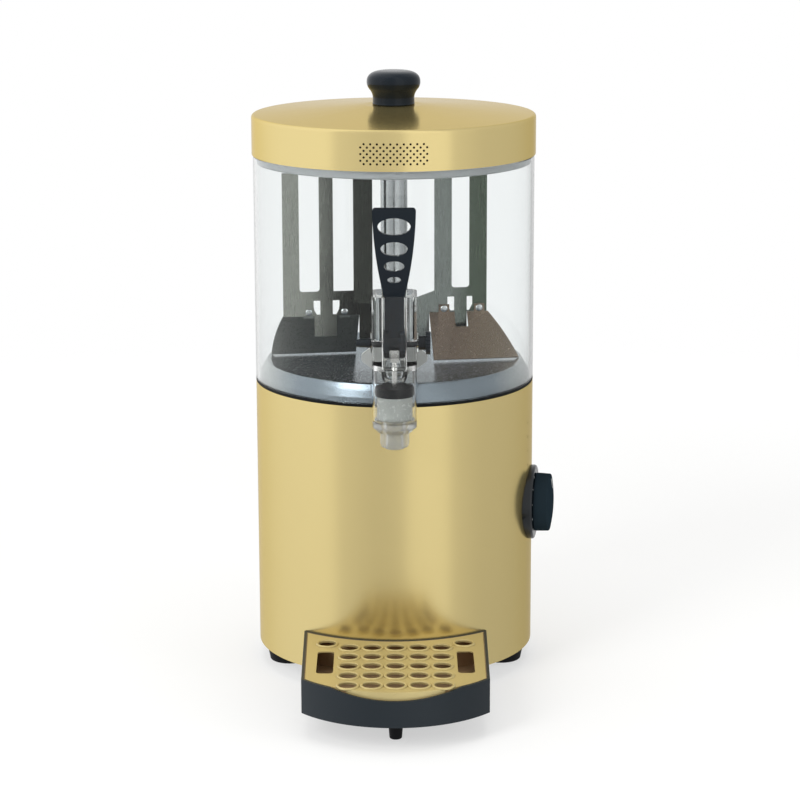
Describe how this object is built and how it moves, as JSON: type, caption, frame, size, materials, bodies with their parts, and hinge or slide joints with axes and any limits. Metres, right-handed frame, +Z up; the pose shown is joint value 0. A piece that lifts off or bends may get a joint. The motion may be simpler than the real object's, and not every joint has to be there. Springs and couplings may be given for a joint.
{
  "type": "hot chocolate dispenser machine",
  "caption": "Round countertop hot drink dispenser: clear heated tank with stirring combs, domed lid, lever tap, side dial and pull-out drip tray with grid.",
  "frame": {"origin": "centre of the footprint's bounding box, on the counter", "axes": "+Z up, -Y towards the tap and tray, +X towards the dial"},
  "size_m": [0.282, 0.417, 0.5588],
  "materials": {
    "gold_painted_steel": "satin metallic gold paint",
    "gold_grid": "satin gold",
    "clear_polycarbonate": "clear, gloss",
    "clear_tap": "clear, gloss",
    "clear_nozzle": "clear, gloss",
    "floor_steel": "satin",
    "agitator_steel": "satin",
    "bright_steel": "polished",
    "zinc_steel": "zinc plated",
    "cast_aluminium": "as cast",
    "black_plastic": "satin black",
    "black_rubber": "matt",
    "grey_plastic": "matt",
    "white_plastic": "matt"
  },
  "bodies": {
    "base": {"body_shell": "gold_painted_steel", "case_top_ring": "gold_painted_steel", "case_bottom_ring": "gold_painted_steel", "base_plate": "zinc_steel", "base_screws": "bright_steel", "foot_front_right": "black_rubber", "foot_front_left": "black_rubber", "foot_rear_right": "black_rubber", "foot_rear_left": "black_rubber", "foot_screws": "bright_steel", "tank_gasket": "black_rubber", "water_bath_pan": "floor_steel", "heating_element": "bright_steel", "element_nuts": "bright_steel", "shaft_bush": "white_plastic", "gearbox": "cast_aluminium", "motor": "zinc_steel", "motor_bracket": "zinc_steel", "terminal_block": "white_plastic", "cord_gland": "black_plastic", "gland_nut": "black_plastic", "dial_bezel": "black_plastic", "thermostat": "black_plastic"},
    "drive": {"gearbox_shaft": "bright_steel", "shaft_coupling": "bright_steel", "drive_shaft": "bright_steel"},
    "dial": {"dial_knob": "black_plastic", "thermostat_spindle": "bright_steel"},
    "tank": {"tank_cylinder": "clear_polycarbonate", "tank_floor": "floor_steel", "inlet_saddle": "black_rubber", "tap_flange": "clear_tap", "inlet_nut": "white_plastic", "tap_body": "clear_tap", "tap_nozzle": "clear_nozzle", "rod_guide": "clear_tap", "lever_pivot_pin": "bright_steel", "pin_thumb_nut": "black_plastic"},
    "lever": {"tap_lever": "black_plastic", "lever_link_pin": "bright_steel"},
    "plunger": {"plunger_cup": "grey_plastic", "plunger_seal": "black_rubber", "plunger_rod": "bright_steel"},
    "agitator": {"agitator_tube": "agitator_steel", "drive_plug": "white_plastic", "comb_left": "agitator_steel", "comb_right": "agitator_steel", "scraper_left": "agitator_steel", "scraper_right": "agitator_steel", "agitator_rivets": "agitator_steel"},
    "lid": {"lid_shell": "gold_painted_steel", "lid_liner": "grey_plastic", "lid_knob": "black_plastic", "lid_knob_screw": "bright_steel"},
    "tray": {"drip_tray": "black_plastic", "tray_foot": "black_rubber"},
    "grid": {"drip_grid": "gold_grid"}
  },
  "joints": [
    {"name": "drive_spin", "type": "hinge", "parent": "base", "child": "drive", "pos_m": [-0.00981, 0.0665, 0.12], "axis": [0, 0, 1], "continuous": true},
    {"name": "tank_lift", "type": "slide", "parent": "base", "child": "tank", "axis": [0, 0, 1], "range_m": [0, 0.2]},
    {"name": "agitator_spin", "type": "hinge", "parent": "tank", "child": "agitator", "pos_m": [-0.00981, 0.0665, 0.38], "axis": [0, 0, 1], "continuous": true},
    {"name": "lid_lift", "type": "slide", "parent": "tank", "child": "lid", "axis": [0, 0, 1], "range_m": [0, 0.12]},
    {"name": "lever_tilt", "type": "hinge", "parent": "tank", "child": "lever", "pos_m": [-0.00981, -0.0985, 0.3375], "axis": [1, 0, 0], "range_deg": [0, 14]},
    {"name": "plunger_slide", "type": "slide", "parent": "tank", "child": "plunger", "axis": [0, 0, 1], "range_m": [0, 0.0032]},
    {"name": "dial_turn", "type": "hinge", "parent": "base", "child": "dial", "pos_m": [0.12353, 0.04538, 0.154], "axis": [0.9877, -0.1564, 0], "range_deg": [0, 270]},
    {"name": "tray_pull", "type": "slide", "parent": "base", "child": "tray", "axis": [0, -1, 0], "range_m": [0, 0.16]},
    {"name": "grid_lift", "type": "slide", "parent": "tray", "child": "grid", "axis": [0, 0, 1], "range_m": [0, 0.05]}
  ],
  "couplings": [
    {"joint": "agitator_spin", "follows": "drive_spin", "ratio": 1},
    {"joint": "plunger_slide", "follows": "lever_tilt", "m_per_rad": 0.01286}
  ]
}
